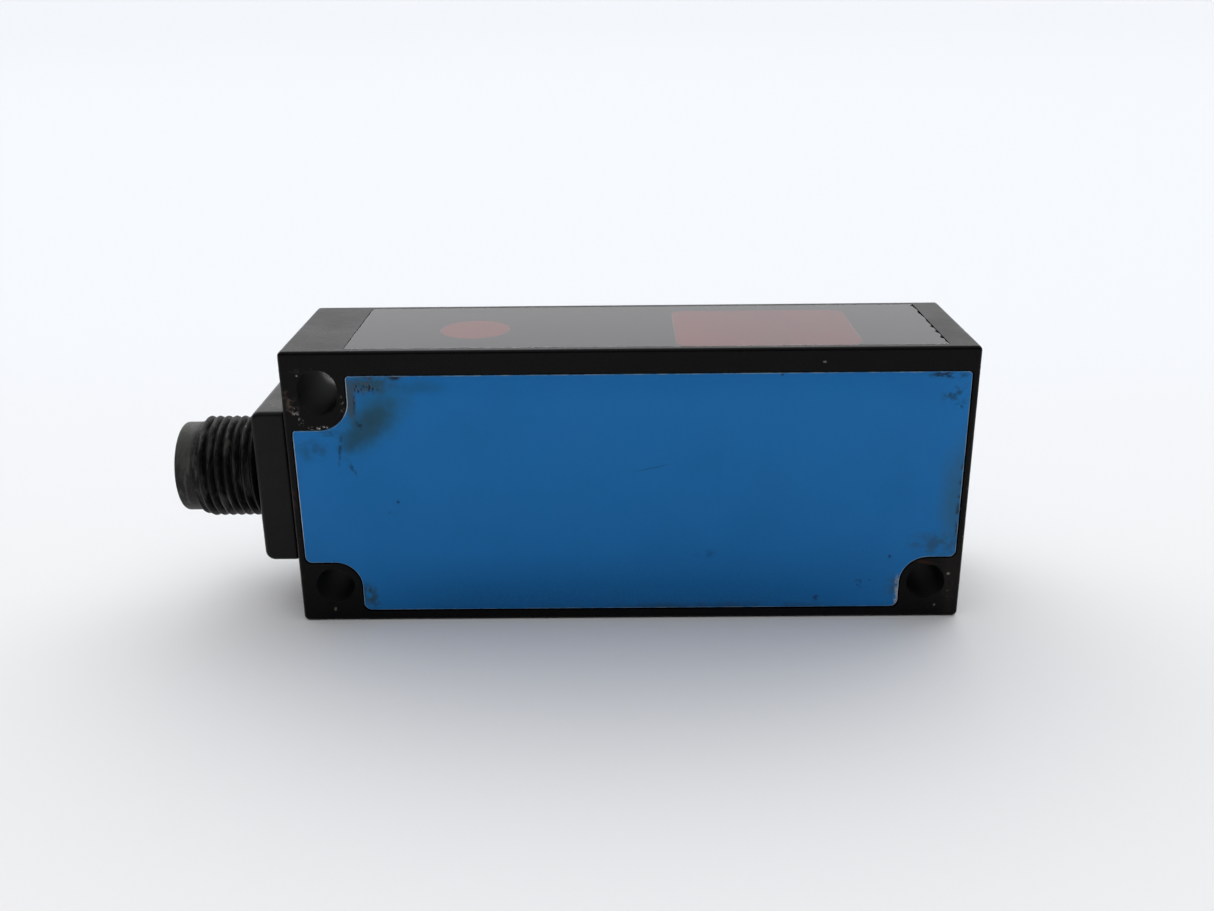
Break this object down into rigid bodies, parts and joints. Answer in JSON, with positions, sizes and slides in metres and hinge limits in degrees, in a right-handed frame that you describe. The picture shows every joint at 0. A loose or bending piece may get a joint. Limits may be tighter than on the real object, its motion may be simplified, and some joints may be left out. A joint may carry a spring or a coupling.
{
  "type": "photoelectric sensor",
  "caption": "Flat rectangular photoelectric proximity sensor with a long optical window on one edge, screw holes at its corners and an M12 plug on one end.",
  "frame": {"origin": "middle of the housing's flat rear face, the face opposite the optical window", "axes": "+X along the housing, from the plug end to the control end; +Y across the thin side; +Z out of the rear face towards the optical window"},
  "size_m": [0.0912, 0.0204, 0.0326],
  "materials": {
    "housing_plastic": "moulded black PBT, satin, with fine grain",
    "sleeve_plastic": "moulded black plastic thread, dusty satin",
    "inner_plastic": "matt black inner moulding",
    "label_foil": "printed blue polyester foil, fine satin grain",
    "clear_acrylic": "clear polished acrylic",
    "mask_ink": "black print behind the pane",
    "red_acrylic": "dark red filter acrylic",
    "chip_resin": "moulded epoxy package",
    "seal_rubber": "black nitrile rubber",
    "steel": "zinc-plated steel",
    "aluminium_can": "drawn aluminium can",
    "gold_contact": "gold-plated brass contact",
    "board_laminate": "green glass-fibre laminate",
    "knob_plastic": "off-white moulded plastic",
    "led_green": "green diffused LED",
    "led_yellow": "yellow diffused LED",
    "wire_brown": "brown wire insulation",
    "wire_white": "white wire insulation",
    "wire_blue": "blue wire insulation",
    "wire_black": "black wire insulation"
  },
  "bodies": {
    "housing_body": {"adjuster_seal": "seal_rubber", "block_gasket": "seal_rubber", "board_link": "inner_plastic", "board_screw_1": "steel", "board_screw_2": "steel", "connector_block": "housing_plastic", "contact_insert": "inner_plastic", "contact_pin_1": "gold_contact", "contact_pin_2": "gold_contact", "contact_pin_3": "gold_contact", "contact_pin_4": "gold_contact", "control_board": "board_laminate", "flange_screw_1": "steel", "flange_screw_2": "steel", "guide_rod_far": "steel", "guide_rod_near": "steel", "housing": "housing_plastic", "indicator_board": "board_laminate", "indicator_light_guide": "clear_acrylic", "input_capacitor": "aluminium_can", "label_cover_side": "label_foil", "label_housing_side": "label_foil", "lead_wire_1": "wire_brown", "lead_wire_2": "wire_white", "lead_wire_3": "wire_blue", "lead_wire_4": "wire_black", "light_baffle": "inner_plastic", "main_board": "board_laminate", "mode_switch_body": "inner_plastic", "optics_carrier": "inner_plastic", "output_capacitor": "aluminium_can", "power_led_green": "led_green", "receiver_diode": "chip_resin", "red_filter": "red_acrylic", "selector_seal": "seal_rubber", "sender_led": "red_acrylic", "sender_lens": "clear_acrylic", "side_cover": "housing_plastic", "signal_processor": "chip_resin", "status_led_yellow": "led_yellow", "threaded_sleeve": "sleeve_plastic", "voltage_regulator": "chip_resin", "window_mask": "mask_ink", "window_pane": "clear_acrylic"},
    "range_spindle": {"range_adjuster": "knob_plastic", "spindle_clip": "steel"},
    "receiver_slide": {"lens_carriage": "inner_plastic", "receiver_lens": "clear_acrylic"},
    "mode_knob": {"mode_selector": "knob_plastic"}
  },
  "joints": [
    {"name": "range_turn", "type": "hinge", "parent": "housing_body", "child": "range_spindle", "pos_m": [0.0365, 0, 0.021], "axis": [1, 0, 0], "range_deg": [-902, 902]},
    {"name": "receiver_travel", "type": "slide", "parent": "housing_body", "child": "receiver_slide", "axis": [1, 0, 0], "range_m": [-0.00125, 0.00125]},
    {"name": "mode_turn", "type": "hinge", "parent": "housing_body", "child": "mode_knob", "pos_m": [0.0365, -0.0042, 0.0136], "axis": [1, 0, 0], "range_deg": [0, 180]}
  ],
  "couplings": [
    {"joint": "range_turn", "follows": "receiver_travel", "rad_per_m": 12566}
  ]
}
